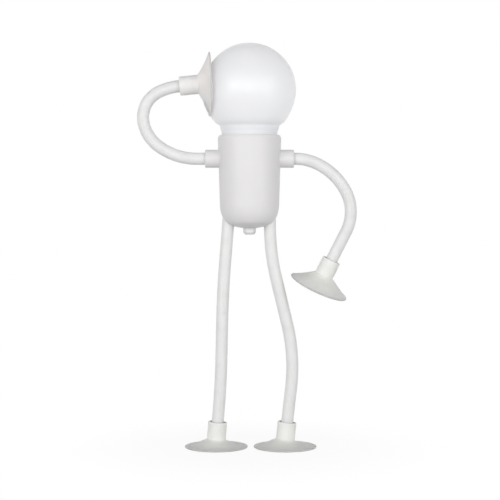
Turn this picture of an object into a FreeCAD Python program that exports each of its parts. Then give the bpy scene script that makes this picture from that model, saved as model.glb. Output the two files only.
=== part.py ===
import FreeCAD, Part
import math
import os

# Bendable figure night light, in millimetres. Z is up, the figure looks along -Y.
# Origin: on the floor, under the axis of the housing. Right and left are the figure's own.

Vec = FreeCAD.Vector

# Limb tube and its armature wire
tube_r = 4.0
wire_r = 1.5

# Clearances: a screw in its pilot hole, a fit, a loose hole, parts that move past each other
pilot_gap = 0.02
fit_gap = 0.05
loose_gap = 0.1
run_gap = 0.3

# How far the middle of a quarter round lies from its corner, for a radius of one
round_mid = 1.0 - math.sqrt(0.5)

# Housing
housing_base_z = 145.0
housing_top_z = 206.5
housing_top_r = 20.85
housing_foot_r = 19.6
housing_foot_z = 163.0
dome_r = 35.7
dome_edge_r = 9.0
corner_points = [(12.3, 147.3), (15.2, 149.0), (17.3, 151.8), (18.5, 154.4), (19.3, 158.0)]
wall = 1.9
top_round_w = 2.0
top_round_h = 2.7
post_r = 2.4
post_low_z = 148.5
switch_tower_r = 7.0
switch_tower_top_z = 153.7
switch_seat_r = 5.75
flange_room_r = 5.3
charging_recess_y = 19.2
charging_recess_w = 0.9

# Shoulder sockets
shoulder_z = 190.9
socket_end_x = 29.2
socket_root_x = 16.6
socket_join_x = 20.0
socket_clear_r = 17.6
socket_r = 5.9
socket_round = 0.5

# Countersunk mouth where a limb tube leaves a shoulder socket or a cup's sleeve
mouth_r = 4.7
mouth_deep = 1.0

# Leg sockets
leg_socket_r = 6.2

# Crimped ring on each limb root: outer radius, its two faces measured from the root's end
ferrule_r = 4.9
ferrule_start = 0.8
ferrule_end = 5.0

# Globe
globe_r = 30.5
globe_z = 236.3
globe_wall = 1.5
neck_r = 18.35
neck_top_z = 207.6
neck_foot_z = 200.9
globe_low_angle = -20.0
bead_z = 202.8
bead_half = 0.5
bead_h = 0.4
shoulder_points = [(25.2, 218.3), (21.2, 213.7), (19.5, 212.4), (19.15, 210.8)]
neck_gap = 0.25

# Button and switch
button_r = 4.2
button_tip_r = 2.9
button_tip_z = 141.0
button_chamfer = 1.4
button_flange_r = 5.0
button_flange_z = 147.3
button_flange_t = 0.8
stem_r = 1.8
stem_top_z = 151.7
switch_z = 150.2
switch_side = 8.0
switch_h = 6.0
switch_bore_r = 2.1
switch_lead_z = 154.9
dome_top_z = 154.9
dome_foot_r = 1.8
dome_crown_r = 1.1
dome_t = 0.5

# Carrier, cell and boards
carrier_z = 161.6
carrier_t = 1.6
carrier_r = 16.9
cell_r = 7.0
cell_h = 40.0
cell_gap = 0.15
cradle_t = 1.4
cradle_window = 12.6
switch_post_r = 2.5
ring_t = 1.2
ring_r = 16.2
ring_hole_r = 5.5
led_board_t = 1.2
led_chip = (3.5, 2.8, 0.7)
led_chip_ring_r = 8.0
led_chip_count = 8
control_y = 9.4
control_t = 1.0
control_w = 16.0
control_z = 166.0
control_h = 22.0
usb_z = 172.0
usb_w = 8.94
usb_h = 3.2
usb_wall = 0.3
usb_mouth_y = 19.4
screw_r = 1.0
screw_head_r = 1.9
screw_head_h = 1.2
screw_l = 5.0
post_ring_r = 13.6
led_screw_ring_r = 12.6
post_angles = (-90, 40, 140)
led_screw_angles = (-30, 210)
lead_r = 0.6
lead_room = 2.2
cell_lead_x = 3.0
led_lead_x = 7.0
switch_lead_x = 3.2

# Suction cups: rim radius, height of the cone, depth of the hollow, length of the sleeve,
# and where the flared outer face passes, as shares of the cone's width and height
cup_sleeve_r = 6.25
cup_sleeve_round = 0.6
cup_lip = 0.9
cup_lip_bulge = 0.12
cup_bore = 10.0
tube_short = 0.4
cup_ceiling_r = 4.5
raised_cup = dict(rim_r=20.9, cone_h=7.6, hollow=5.5, sleeve_l=12.7, flare=[(0.08, 0.88), (0.45, 0.50)])
free_cup = dict(rim_r=20.05, cone_h=8.8, hollow=6.6, sleeve_l=11.8, flare=[(0.08, 0.89), (0.45, 0.51)])
foot_cup = dict(rim_r=20.8, cone_h=4.7, hollow=2.9, sleeve_l=12.2, flare=[(0.07, 0.84), (0.45, 0.44)])

# How far the raised cup's hollow stays off the globe that it is pressed on
press_gap = 0.9

# Bend stations: the ball end of a segment and how far back its neighbour is cut square
ball_r = tube_r
station_cut = 2.9
wire_tip = 1.0

# Routes of the limbs: straight runs, and bends as (radius, turn in degrees),
# turning the limb's heading in its own plane. Heading 0 is +X, 90 is up.
arm_root = 15.8
leg_root = 11.3
raised_arm = dict(
    start=(-socket_end_x, shoulder_z), heading=180.0, tip=5.0, root=arm_root,
    route=[5.6, (42.0, -37.0), (25.0, -40.0), (18.6, -77.0), (39.2, -20.5), 0.3],
    stations=[8.0, 27.0, 52.0], cup=raised_cup, lean=-3.8, yaw=4.2)
hanging_arm = dict(
    start=(socket_end_x, shoulder_z), heading=0.0, tip=4.0, root=arm_root,
    route=[1.1, (32.0, -21.5), (41.5, -41.5), (29.0, -53.5), 21.2],
    stations=[8.0, 29.0, 55.0, 80.0], cup=free_cup, lean=1.6, yaw=-12.3)
right_leg = dict(
    start=(-14.0, 149.0), heading=-94.6, tip=0.0, root=leg_root,
    route=[25.0, (690.0, 3.3), 26.0, (560.0, -4.0), 2.0, (30.0, 2.9), 0.0],
    stations=[12.0, 32.0, 72.0, 112.0], cup=foot_cup, lean=0.0, yaw=0.0)
left_leg = dict(
    start=(13.4, 149.0), heading=-88.5, tip=0.0, root=leg_root,
    route=[6.0, (150.0, 12.0), 31.5, (120.0, -20.0), 0.0],
    stations=[12.0, 32.0, 72.0, 112.0], cup=foot_cup, lean=6.5, yaw=0.0)

x_axis = Vec(1, 0, 0)
y_axis = Vec(0, 1, 0)
z_axis = Vec(0, 0, 1)


# Small helpers

def cylinder(radius, start, end):
    """A round bar from one point to another."""
    return Part.makeCylinder(radius, (end - start).Length, start, end - start)


def upright(radius, low, high, x=0.0, y=0.0):
    """A round bar along Z."""
    return Part.makeCylinder(radius, high - low, Vec(x, y, low))


def block(x_size, y_size, z_size, centre):
    """A box about a centre point."""
    corner = Vec(centre.x - x_size / 2, centre.y - y_size / 2, centre.z - z_size / 2)
    return Part.makeBox(x_size, y_size, z_size, corner)


def line(a, b):
    return Part.LineSegment(a, b).toShape()


def arc(a, middle, b):
    return Part.Arc(a, middle, b).toShape()


def spline(points, start_way, end_way):
    """A smooth curve through points, leaving and arriving in given directions."""
    curve = Part.BSplineCurve()
    curve.interpolate(Points=points, InitialTangent=start_way, FinalTangent=end_way)
    return curve.toShape()


def inset_points(points, inset):
    """Points of an outline in the XZ plane moved inwards, square to the outline."""
    moved = []
    for i in range(1, len(points) - 1):
        way = (points[i + 1] - points[i - 1]).normalize()
        moved.append(points[i] + Vec(-way.z, 0, way.x) * inset)
    return moved


def turned(edges):
    """A solid of revolution about Z from edges in the XZ plane."""
    face = Part.Face(Part.Wire(edges))
    return face.revolve(Vec(0, 0, 0), z_axis, 360)


def at(r, z):
    return Vec(r, 0, z)


def polar(radius, degrees, z):
    a = math.radians(degrees)
    return Vec(radius * math.cos(a), radius * math.sin(a), z)


def aimed(shape, point, direction):
    """A shape about Z moved to a point, with Z along a direction."""
    moved = shape.copy()
    moved.Placement = FreeCAD.Placement(point, FreeCAD.Rotation(z_axis, direction))
    return moved


def rounded_post(radius, low, high, soft):
    """A round bar along Z whose upper edge is rounded."""
    mid = soft * round_mid
    return turned([
        line(at(0, low), at(radius, low)),
        line(at(radius, low), at(radius, high - soft)),
        arc(at(radius, high - soft), at(radius - mid, high - mid), at(radius - soft, high)),
        line(at(radius - soft, high), at(0, high)),
        line(at(0, high), at(0, low)),
    ])


def mouth_cone(point, way):
    """The cut that opens a bore towards its end: point is the end, way leads out of it.
    It starts inside the bore and ends a little outside, so that it cuts clean."""
    narrow = tube_r - fit_gap
    beyond = 0.2
    wide = narrow + (mouth_r - narrow) * (mouth_deep + beyond) / mouth_deep
    return Part.makeCone(narrow, wide, mouth_deep + beyond, point - way * mouth_deep, way)


def fused(solids):
    whole = solids[0].multiFuse(solids[1:]) if len(solids) > 1 else solids[0]
    return whole.removeSplitter()


# Limb routes

class Limb:
    """A limb's centre line: runs and bends in one plane, measured by length from its root."""

    def __init__(self, data):
        self.data = data
        tip = math.radians(data["tip"])
        self.across = x_axis
        self.up = Vec(0, -math.sin(tip), math.cos(tip))
        self.normal = self.across.cross(self.up)
        self.low_z = data["start"][1]
        self.pieces = []
        x, z = data["start"]
        heading = math.radians(data["heading"])
        root = data["root"]
        x -= root * math.cos(heading)
        z -= root * math.sin(heading)
        length = -root
        stretches = [root + data["route"][0]] + data["route"][1:]
        if data["cup"] is foot_cup:
            stretches[-1] = self.last_run(x, z, heading, stretches[:-1])
        for stretch in stretches:
            radius, turn = stretch if isinstance(stretch, tuple) else (None, 0.0)
            turn = math.radians(turn)
            run = stretch if radius is None else radius * abs(turn)
            if run <= 0.0:
                continue
            self.pieces.append((length, run, x, z, heading, radius, turn))
            x, z, heading = self.advance(x, z, heading, run, radius, turn)
            length += run
        self.length = length
        self.root = -root
        self.end_heading = heading

    def last_run(self, x, z, heading, stretches):
        """The last straight run of a leg is what its foot leaves it."""
        for stretch in stretches:
            radius, turn = stretch if isinstance(stretch, tuple) else (None, 0.0)
            turn = math.radians(turn)
            run = stretch if radius is None else radius * abs(turn)
            x, z, heading = self.advance(x, z, heading, run, radius, turn)
        cup = self.data["cup"]
        cup_top = cup["cone_h"] - cup["sleeve_l"] * math.sin(heading)
        return (z - cup_top) / -math.sin(heading)

    @staticmethod
    def advance(x, z, heading, run, radius, turn):
        """Where a run or a bend ends."""
        if radius is None:
            return x + run * math.cos(heading), z + run * math.sin(heading), heading
        side = math.copysign(radius, turn)
        part = run / radius * (1 if turn > 0 else -1)
        x += side * (math.sin(heading + part) - math.sin(heading))
        z -= side * (math.cos(heading + part) - math.cos(heading))
        return x, z, heading + part

    def state(self, s):
        """Plane position and heading at a length along the limb."""
        for length, run, x, z, heading, radius, turn in self.pieces:
            if s <= length + run or (length, run) == self.pieces[-1][:2]:
                return self.advance(x, z, heading, s - length, radius, turn)

    def place(self, x, z):
        """A point of the limb's plane, in space."""
        return self.across * x + self.up * (z - self.low_z) + z_axis * self.low_z

    def point(self, s):
        x, z, heading = self.state(s)
        return self.place(x, z)

    def direction(self, s):
        x, z, heading = self.state(s)
        return self.across * math.cos(heading) + self.up * math.sin(heading)

    def tube(self, radius, start, end):
        """A round bar along the limb from one length to another."""
        edges = []
        for length, run, x, z, heading, bend, turn in self.pieces:
            a = max(start, length)
            b = min(end, length + run)
            if b - a < 1e-6:
                continue
            if bend is None:
                edges.append(line(self.point(a), self.point(b)))
            else:
                edges.append(arc(self.point(a), self.point((a + b) / 2), self.point(b)))
        spine = Part.Wire(edges)
        circle = Part.Circle(self.point(start), self.direction(start), radius)
        pipe = Part.BRepOffsetAPI.MakePipeShell(spine)
        pipe.add(Part.Wire(circle.toShape()))
        pipe.build()
        pipe.makeSolid()
        return pipe.shape()

    def segments(self):
        """The stretches between bend stations: (start, end, has ball, has socket)."""
        marks = [self.root] + self.data["stations"] + [self.length + cup_bore - tube_short]
        spans = []
        for i in range(len(marks) - 1):
            spans.append((marks[i], marks[i + 1], i > 0, i < len(marks) - 2))
        return spans

    def sleeve(self, start, end, has_ball, has_socket):
        """One silicone segment: ball at its own bend, hollow seat at the next bend."""
        stop = end - station_cut if has_socket else end
        body = self.tube(tube_r, start, stop)
        bore_start = start
        if has_ball:
            body = fused([body, Part.makeSphere(ball_r, self.point(start))])
            bore_start = start - ball_r - 0.5
        bore = self.tube(wire_r + loose_gap, bore_start, stop)
        body = body.cut(bore)
        if has_socket:
            body = body.cut(Part.makeSphere(ball_r + run_gap, self.point(end)))
        return body

    def wire(self, start, end, has_ball, has_socket):
        """The armature wire of one segment."""
        first = start - ball_r + wire_tip if has_ball else start - wire_tip
        last = end - station_cut if has_socket else end - wire_tip
        bar = self.tube(wire_r, max(first, self.root), last)
        if has_socket:
            bar = bar.cut(Part.makeSphere(ball_r + run_gap, self.point(end)))
        return bar


# Suction cups

def cup_shape(cup):
    """Cone and lip about Z: rim plane at zero, sleeve side above."""
    rim = cup["rim_r"]
    high = cup["cone_h"]
    deep = cup["hollow"]
    base = cup_sleeve_r - cup_lip_bulge
    points = [at(base, high)]
    for across, up in cup["flare"]:
        points.append(at(base + (rim - base) * across, cup_lip + (high - cup_lip) * up))
    points.append(at(rim, cup_lip))
    start_way = (points[1] - points[0]).normalize()
    end_way = (points[-1] - points[-2]).normalize()
    edges = [
        line(at(0, deep), at(0, high)),
        line(at(0, high), points[0]),
        spline(points, start_way, end_way),
        arc(at(rim, cup_lip), at(rim + cup_lip_bulge, cup_lip / 2), at(rim, 0)),
        line(at(rim, 0), at(rim - cup_lip, 0)),
        line(at(rim - cup_lip, 0), at(cup_ceiling_r, deep)),
        line(at(cup_ceiling_r, deep), at(0, deep)),
    ]
    return turned(edges)


def make_cup(limb):
    """A suction cup on the end of a limb. Its rim may lean against its sleeve."""
    cup = limb.data["cup"]
    mouth = limb.point(limb.length)
    back = limb.direction(limb.length) * -1
    base = mouth - back * cup["sleeve_l"]
    rim_back = FreeCAD.Rotation(limb.normal, limb.data["lean"]).multVec(back)
    rim_back = FreeCAD.Rotation(z_axis, limb.data["yaw"]).multVec(rim_back)
    if cup is foot_cup:
        rim_back = z_axis
    cone = aimed(cup_shape(cup), base - rim_back * cup["cone_h"], rim_back)
    sleeve = rounded_post(cup_sleeve_r, -0.7, cup["sleeve_l"], cup_sleeve_round)
    whole = fused([cone, aimed(sleeve, base, back)])
    bore = cylinder(tube_r + fit_gap, mouth - back * cup_bore, mouth + back)
    whole = whole.cut(bore).cut(mouth_cone(mouth, back))
    if cup is raised_cup:
        whole = whole.cut(Part.makeSphere(globe_r + press_gap, Vec(0, 0, globe_z)))
    return whole


# Housing, globe and button

def dome_point(r, inset):
    """A point of the shallow dome under the housing, whose centre is on the axis."""
    radius = dome_r - inset
    return at(r, housing_base_z + dome_r - math.sqrt(radius * radius - r * r))


def housing_foot_edges(inset):
    """Dome and rounded corner of the housing's bottom; inset gives the inner face."""
    foot = at(housing_foot_r, housing_foot_z)
    side = (at(housing_top_r, housing_top_z) - foot).normalize()
    start = dome_point(dome_edge_r, 0.0)
    points = [dome_point(dome_edge_r - 1.0, 0.0), start]
    points += [at(r, z) for r, z in corner_points]
    points += [foot, foot + side]
    points = inset_points(points, inset)
    slope = math.asin(points[0].x / (dome_r - inset))
    first = dome_point(points[0].x, inset)
    dome = arc(dome_point(0.0, inset), dome_point(points[0].x / 2, inset), first)
    points[0] = first
    corner = spline(points, Vec(math.cos(slope), 0, math.sin(slope)), side)
    return dome, corner, points[-1]


def housing_bodies():
    """The housing's outer form and the room inside it."""
    dome, corner, foot = housing_foot_edges(0.0)
    side = at(housing_top_r, housing_top_z - top_round_h)
    mid = side + Vec(-top_round_w * round_mid, 0, top_round_h * (1.0 - round_mid))
    rim = at(housing_top_r - top_round_w, housing_top_z)
    outer = turned([
        dome,
        corner,
        line(foot, side),
        spline([side, mid, rim], z_axis, x_axis * -1),
        line(rim, at(0, housing_top_z)),
        line(at(0, housing_top_z), at(0, housing_base_z)),
    ])
    dome, corner, foot = housing_foot_edges(wall)
    bore_r = neck_r + neck_gap
    bore_low_z = neck_foot_z - 1.0
    inner = turned([
        dome,
        corner,
        line(foot, at(bore_r, bore_low_z)),
        line(at(bore_r, bore_low_z), at(bore_r, housing_top_z)),
        line(at(bore_r, housing_top_z), at(0, housing_top_z)),
        line(at(0, housing_top_z), at(0, housing_base_z + wall)),
    ])
    return outer, inner


def shoulder_bar(side, near_x, far_x, soft=0.0):
    """A stretch of the round bar that a shoulder socket is made from; soft rounds its outer end."""
    start = Vec(side * near_x, 0, shoulder_z)
    if soft == 0.0:
        return cylinder(socket_r, start, Vec(side * far_x, 0, shoulder_z))
    return aimed(rounded_post(socket_r, 0.0, far_x - near_x, soft), start, x_axis * side)


def housing_inside(legs):
    """Switch tower, leg sockets, screw posts and the thick roots of the shoulder sockets."""
    solids = [upright(switch_tower_r, housing_base_z + 1.0, switch_tower_top_z)]
    for leg in legs:
        solids.append(cylinder(leg_socket_r, leg.point(-1.0), leg.point(leg.root + ferrule_start)))
    for angle in post_angles:
        top = polar(post_ring_r, angle, carrier_z - fit_gap)
        solids.append(cylinder(post_r, polar(post_ring_r, angle, post_low_z), top))
    for side in (-1, 1):
        solids.append(shoulder_bar(side, socket_root_x, socket_join_x))
    return fused(solids)


def housing_cuts(limbs):
    """Everything that is cut from the housing: bead groove, button and switch bores, limb bores,
    pilot holes and the charging socket's opening."""
    bore_r = neck_r + neck_gap
    groove_low = bead_z - bead_half - neck_gap
    groove_high = bead_z + bead_half + neck_gap
    groove = upright(bore_r + bead_h + 0.1, groove_low, groove_high)
    cuts = [
        groove.cut(upright(bore_r - bead_h, groove_low - 1.0, groove_high + 1.0)),
        upright(button_r + run_gap, button_tip_z, housing_base_z + wall + 1.0),
        upright(flange_room_r, housing_base_z + wall, switch_z),
        upright(switch_seat_r, switch_z, carrier_z),
        charging_hole(run_gap, 15.0),
        charging_hole(run_gap + charging_recess_w, charging_recess_y),
    ]
    for limb in limbs:
        cuts.append(limb_bore(limb))
    for limb in limbs[:2]:
        cuts.append(mouth_cone(limb.point(0.0), limb.direction(0.0)))
    for angle in post_angles:
        hole = polar(post_ring_r, angle, 0)
        low = cell_base_z() - screw_l - 0.6
        cuts.append(upright(screw_r + pilot_gap, low, carrier_z + 1.0, hole.x, hole.y))
    return cuts


def charging_hole(gap, start_y):
    """A cut through the housing's back with the charging socket's outline and a gap round it."""
    return usb_outline(usb_w + 2 * gap, usb_h + 2 * gap, Vec(0, start_y, usb_z), 8.0)


def make_housing(limbs):
    """Cup-shaped shell with shoulder and leg sockets, posts, switch seat and openings."""
    outer, inner = housing_bodies()
    shell = fused([outer.cut(inner), housing_inside(limbs[2:]).common(outer)])
    clear = upright(socket_clear_r, shoulder_z - 8.0, shoulder_z + 8.0)
    for side in (-1, 1):
        bar = shoulder_bar(side, socket_join_x - 2.0, socket_end_x, socket_round)
        shell = shell.fuse(bar.cut(clear))
    for cut in housing_cuts(limbs):
        shell = shell.cut(cut)
    return shell.removeSplitter()


def limb_bore(limb):
    """Socket bore of a limb with the wider seat of its ferrule."""
    a = limb.point(limb.root)
    way = limb.direction(limb.root)
    start = a - way * 6.0
    bore = cylinder(tube_r + fit_gap, start, limb.point(1.5) + way * 3.0)
    seat = cylinder(ferrule_r + fit_gap, start, a + way * (ferrule_end + 0.1))
    return bore.fuse(seat)


def make_ferrules(limbs):
    """Crimped rings on the four limb roots."""
    rings = []
    for limb in limbs:
        way = limb.direction(limb.root)
        start = limb.point(limb.root) + way * ferrule_start
        end = limb.point(limb.root) + way * ferrule_end
        ring = cylinder(ferrule_r, start, end)
        rings.append(ring.cut(cylinder(tube_r + pilot_gap, start - way, end + way)))
    return Part.makeCompound(rings)


def globe_edges(inset):
    """The sphere's arc, then its fuller shoulder and the curve into the neck."""
    r = globe_r - inset
    low = math.radians(globe_low_angle)
    high = math.radians(35.0)
    arc_end = at(r * math.cos(low), globe_z + r * math.sin(low))
    arc_mid = at(r * math.cos(high), globe_z + r * math.sin(high))
    ball = arc(at(0, globe_z + r), arc_mid, arc_end)
    neck_top = at(neck_r, neck_top_z)
    points = [at(globe_r * math.cos(low + 0.1), globe_z + globe_r * math.sin(low + 0.1))]
    points += [at(globe_r * math.cos(low), globe_z + globe_r * math.sin(low))]
    points += [at(r, z) for r, z in shoulder_points]
    points += [neck_top, neck_top - z_axis]
    points = inset_points(points, -inset)
    points[0] = arc_end
    leave = Vec(math.sin(low), 0, -math.cos(low))
    shoulder = spline(points, leave, z_axis * -1)
    return ball, shoulder, points[-1]


def make_globe():
    """Frosted globe: a thin shell with an open neck and a snap bead."""
    solids = []
    for inset in (0.0, globe_wall):
        ball, shoulder, neck = globe_edges(inset)
        foot = at(neck_r - inset, neck_foot_z)
        solids.append(turned([
            ball,
            shoulder,
            line(neck, foot),
            line(foot, at(0, neck_foot_z)),
            line(at(0, neck_foot_z), at(0, globe_z + globe_r - inset)),
        ]))
    shell = solids[0].cut(solids[1])
    low = bead_z - bead_half
    high = bead_z + bead_half
    root = neck_r - bead_h
    bead = turned([
        line(at(root, low), at(neck_r, low)),
        arc(at(neck_r, low), at(neck_r + bead_h, bead_z), at(neck_r, high)),
        line(at(neck_r, high), at(root, high)),
        line(at(root, high), at(root, low)),
    ])
    return fused([shell, bead])


def make_button():
    """Push button: chamfered nub, retaining flange and the stem that works the switch."""
    tip = button_tip_z
    full = tip + button_chamfer
    top = button_flange_z + button_flange_t
    return turned([
        line(at(0, tip), at(button_tip_r, tip)),
        line(at(button_tip_r, tip), at(button_r, full)),
        line(at(button_r, full), at(button_r, button_flange_z)),
        line(at(button_r, button_flange_z), at(button_flange_r, button_flange_z)),
        line(at(button_flange_r, button_flange_z), at(button_flange_r, top)),
        line(at(button_flange_r, top), at(stem_r, top)),
        line(at(stem_r, top), at(stem_r, stem_top_z)),
        line(at(stem_r, stem_top_z), at(0, stem_top_z)),
        line(at(0, stem_top_z), at(0, tip)),
    ])


def make_switch_case():
    """Square switch case with the stem's bore in its underside."""
    case = block(switch_side, switch_side, switch_h, Vec(0, 0, switch_z + switch_h / 2))
    upright_edges = [e for e in case.Edges if abs(e.tangentAt(0).z) > 0.9]
    case = case.makeFillet(0.6, upright_edges)
    return case.cut(upright(switch_bore_r, switch_z - 1.0, dome_top_z))


def make_switch_dome():
    """Rubber dome between the stem and the end of the bore."""
    low = stem_top_z
    top = dome_top_z
    ceiling = top - dome_t
    return turned([
        line(at(dome_foot_r - dome_t, low), at(dome_foot_r, low)),
        line(at(dome_foot_r, low), at(dome_crown_r, top)),
        line(at(dome_crown_r, top), at(0, top)),
        line(at(0, top), at(0, ceiling)),
        line(at(0, ceiling), at(dome_crown_r - dome_t, ceiling)),
        line(at(dome_crown_r - dome_t, ceiling), at(dome_foot_r - dome_t, low)),
    ])


# Carrier, cell and boards

def cell_base_z():
    return carrier_z + carrier_t


def ring_base_z():
    return cell_base_z() + cell_h + 0.4


def lead_y():
    """Where the leads run, behind the control board."""
    return control_y + control_t + lead_room


def make_carrier():
    """Inner frame: base plate, open-fronted cradle for the cell, top ring, switch post."""
    low = cell_base_z()
    high = ring_base_z()
    pocket_r = cell_r + cell_gap
    middle = (low + high) / 2
    pocket = upright(pocket_r, low, high)
    window = block(cradle_window, cradle_window, high - low + 10.0, Vec(0, -8.4, middle))
    cradle = upright(pocket_r + cradle_t, low, high).cut(pocket).cut(window)
    ring = upright(ring_r, high, high + ring_t)
    ring = ring.cut(upright(ring_hole_r, high - 1.0, high + ring_t + 1.0))
    rest = block(control_w, 1.0, 4.0, Vec(0, control_y - 0.55, control_z + 2.0)).cut(pocket)
    base = upright(carrier_r, carrier_z, low)
    post = upright(switch_post_r, switch_z + switch_h + fit_gap, carrier_z)
    frame = fused([base, cradle, ring, rest, post])
    for cut in carrier_cuts(low, high):
        frame = frame.cut(cut)
    return frame.removeSplitter()


def carrier_cuts(low, high):
    """Screw holes, driver holes through the ring, and slots for the leads."""
    cuts = []
    for angle in post_angles:
        x, y, z = polar(post_ring_r, angle, 0)
        cuts.append(upright(screw_r + loose_gap, carrier_z - 1.0, low + 1.0, x, y))
        cuts.append(upright(screw_head_r + 0.4, high - 1.0, high + ring_t + 1.0, x, y))
    for angle in led_screw_angles:
        x, y, z = polar(led_screw_ring_r, angle, 0)
        cuts.append(upright(screw_r + pilot_gap, high - 1.0, high + ring_t + 1.0, x, y))
    cuts.append(block(18.0, 6.0, 4.0, Vec(0, 14.8, high + 0.5)))
    cuts.append(block(8.6, 12.0, 4.0, Vec(0, 6.0, high + 0.5)))
    cuts.append(block(9.0, 3.0, 4.0, Vec(0, lead_y(), carrier_z)))
    return cuts


def make_cell():
    """Round cell with its raised positive end and shrink-wrap lip."""
    low = cell_base_z() + 0.05
    top = low + cell_h - 0.6
    can = upright(cell_r, low, top)
    edges = [e for e in can.Edges if e.isClosed() and e.Length > 10]
    can = can.makeFillet(0.5, edges)
    return fused([can, upright(2.8, top - 0.1, top + 0.45)])


def make_led_board():
    """Aluminium LED board that stands on the carrier's ring."""
    low = ring_base_z() + ring_t
    board = upright(ring_r, low, low + led_board_t)
    for angle in led_screw_angles:
        x, y, z = polar(led_screw_ring_r, angle, 0)
        board = board.cut(upright(screw_r + loose_gap, low - 1.0, low + 3.0, x, y))
    for x in (-led_lead_x, led_lead_x):
        board = board.cut(upright(lead_r + loose_gap, low - 1.0, low + 3.0, x, lead_y()))
    return board


def make_led_chips():
    """One LED in the middle and a ring of eight about it."""
    length, width, height = led_chip
    z = ring_base_z() + ring_t + led_board_t + height / 2
    chips = [block(length, width, height, Vec(0, 0, z))]
    step = 360.0 / led_chip_count
    for i in range(led_chip_count):
        chip = block(length, width, height, Vec(led_chip_ring_r, 0, z))
        chip.rotate(Vec(0, 0, 0), z_axis, step * (i + 0.5))
        chips.append(chip)
    return Part.makeCompound(chips)


def make_control_board():
    middle = Vec(0, control_y + control_t / 2, control_z + control_h / 2)
    return block(control_w, control_t, control_h, middle)


def make_board_chips():
    """Charge controller, inductor and two small chips on the board's rear face."""
    y = control_y + control_t
    return Part.makeCompound([
        block(4.0, 1.4, 5.0, Vec(-4.0, y + 0.7, 179.0)),
        block(3.6, 1.8, 3.6, Vec(1.4, y + 0.9, 179.4)),
        block(1.6, 0.8, 2.9, Vec(-6.4, y + 0.4, 170.0)),
        block(1.6, 0.8, 2.9, Vec(6.4, y + 0.4, 170.0)),
    ])


def usb_outline(width, height, start, length):
    """Round-ended bar along Y with the socket's outline."""
    r = height / 2
    half = width / 2 - r
    mid = block(2 * half, length, height, start + Vec(0, length / 2, 0))
    ends = []
    for x in (-half, half):
        ends.append(cylinder(r, start + Vec(x, 0, 0), start + Vec(x, length, 0)))
    return fused([mid] + ends)


def make_usb_shell():
    """Metal shell of the charging socket."""
    start = Vec(0, control_y + control_t, usb_z)
    length = usb_mouth_y - start.y
    body = usb_outline(usb_w, usb_h, start, length)
    hollow = usb_outline(usb_w - 2 * usb_wall, usb_h - 2 * usb_wall, start + Vec(0, 1.0, 0), length)
    return body.cut(hollow)


def make_usb_tongue():
    """Contact tongue inside the socket."""
    start_y = control_y + control_t + 1.0
    length = usb_mouth_y - 1.2 - start_y
    foot = block(7.0, 1.2, 2.2, Vec(0, start_y + 0.6, usb_z))
    blade = block(6.6, length, 0.7, Vec(0, start_y + length / 2, usb_z))
    return fused([foot, blade])


def make_screw(x, y, seat_z):
    """Cap screw with a cross recess, head above its seat."""
    head = Part.makeCylinder(screw_head_r, screw_head_h, Vec(x, y, seat_z))
    top_edges = [e for e in head.Edges if e.isClosed() and e.CenterOfMass.z > seat_z + 1.0]
    head = head.makeFillet(0.4, top_edges)
    shank = upright(screw_r, seat_z - screw_l, seat_z + 0.1, x, y)
    screw = fused([head, shank])
    for turn in (0, 90):
        slot = block(2.2, 0.5, 1.6, Vec(0, 0, seat_z + screw_head_h))
        slot.rotate(Vec(0, 0, 0), z_axis, turn)
        slot.translate(Vec(x, y, 0))
        screw = screw.cut(slot)
    return screw


def make_screws():
    """Three screws hold the carrier, two hold the LED board."""
    screws = []
    for angle in post_angles:
        x, y, z = polar(post_ring_r, angle, 0)
        screws.append(make_screw(x, y, cell_base_z()))
    for angle in led_screw_angles:
        x, y, z = polar(led_screw_ring_r, angle, 0)
        screws.append(make_screw(x, y, ring_base_z() + ring_t + led_board_t))
    return Part.makeCompound(screws)


def make_lead(points, bend):
    """A round lead along straight runs joined by tangent arcs."""
    edges = []
    here = points[0]
    for i in range(1, len(points) - 1):
        into = (points[i] - points[i - 1]).normalize()
        out = (points[i + 1] - points[i]).normalize()
        turn = into.getAngle(out)
        back = bend * math.tan(turn / 2)
        a = points[i] - into * back
        b = points[i] + out * back
        inward = (out - into).normalize()
        centre = points[i] + inward * (bend / math.cos(turn / 2))
        middle = centre - inward * bend
        edges.append(line(here, a))
        edges.append(arc(a, middle, b))
        here = b
    edges.append(line(here, points[-1]))
    spine = Part.Wire(edges)
    circle = Part.Circle(points[0], points[1] - points[0], lead_r)
    pipe = Part.BRepOffsetAPI.MakePipeShell(spine)
    pipe.add(Part.Wire(circle.toShape()))
    pipe.build()
    pipe.makeSolid()
    return pipe.shape()


def cell_lead(x):
    """From the cell's top over the ring's slot and down to the control board."""
    over = cell_base_z() + cell_h + lead_r + fit_gap
    low = control_z + 18.0
    face = control_y + control_t
    rear = lead_y() - 0.1
    route = [Vec(x, 1.5, over), Vec(x, rear, over), Vec(x, rear, low), Vec(x, face, low)]
    return make_lead(route, 1.3)


def make_signal_leads():
    """Two leads up to the LED board and two down to the switch."""
    rear = lead_y()
    face = control_y + control_t
    board_top = ring_base_z() + ring_t + led_board_t
    leads = []
    for x in (-led_lead_x, led_lead_x):
        low = control_z + 16.0
        leads.append(make_lead([Vec(x, rear, board_top), Vec(x, rear, low), Vec(x, face, low)], 1.5))
    for x in (-switch_lead_x, switch_lead_x):
        low = control_z + 0.5
        side = switch_side / 2
        route = [Vec(x, side, switch_lead_z), Vec(x, rear, switch_lead_z), Vec(x, rear, low)]
        leads.append(make_lead(route + [Vec(x, face, low)], 1.5))
    return Part.makeCompound(leads)


# Writing the files

def save(shape, name):
    shape.exportStep("parts/" + name + ".step")


limb_names = dict(
    right_arm=["root", "upper", "fore", "end"],
    left_arm=["root", "upper", "middle", "fore", "end"],
    right_leg=["root", "hip", "thigh", "shin", "end"],
    left_leg=["root", "hip", "thigh", "shin", "end"])


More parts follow.
